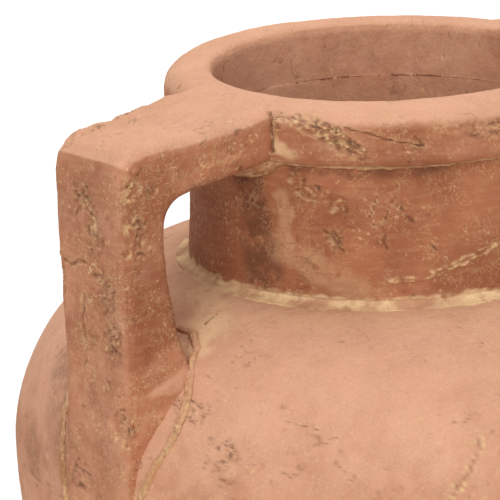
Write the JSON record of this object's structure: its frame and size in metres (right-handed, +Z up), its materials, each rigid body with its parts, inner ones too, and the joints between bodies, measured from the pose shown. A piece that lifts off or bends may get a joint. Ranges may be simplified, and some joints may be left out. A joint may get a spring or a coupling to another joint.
{
  "type": "amphora",
  "caption": "Rustic terracotta amphora: round belly on a narrow flat foot, short straight neck with a rolled rim, and squared strap handles running from the rim down to the belly.",
  "frame": {"origin": "centre of the foot's underside, on the plane the amphora stands on", "axes": "+Z up along the pot's axis to the mouth; +X towards the right handle and -X towards the left one; +Y completes the right-handed frame"},
  "size_m": [0.33, 0.33, 0.372],
  "materials": {
    "terracotta_vessel": "matte",
    "terracotta_handle": "matte",
    "clay_slip": "matte",
    "coil_clay": "matte"
  },
  "bodies": {
    "root": {"base_slab": "terracotta_vessel", "lower_bowl": "terracotta_vessel", "upper_bowl": "terracotta_vessel", "neck_collar": "terracotta_vessel", "rim_roll": "terracotta_vessel", "handle_right": "terracotta_handle", "handle_left": "terracotta_handle", "belly_coil": "coil_clay", "base_coil": "coil_clay", "wad_right": "terracotta_handle", "wad_left": "terracotta_handle", "rim_bead_back": "clay_slip", "rim_bead_front": "clay_slip", "neck_bead": "clay_slip", "foot_bead_right": "clay_slip", "foot_bead_left": "clay_slip"}
  },
  "joints": []
}
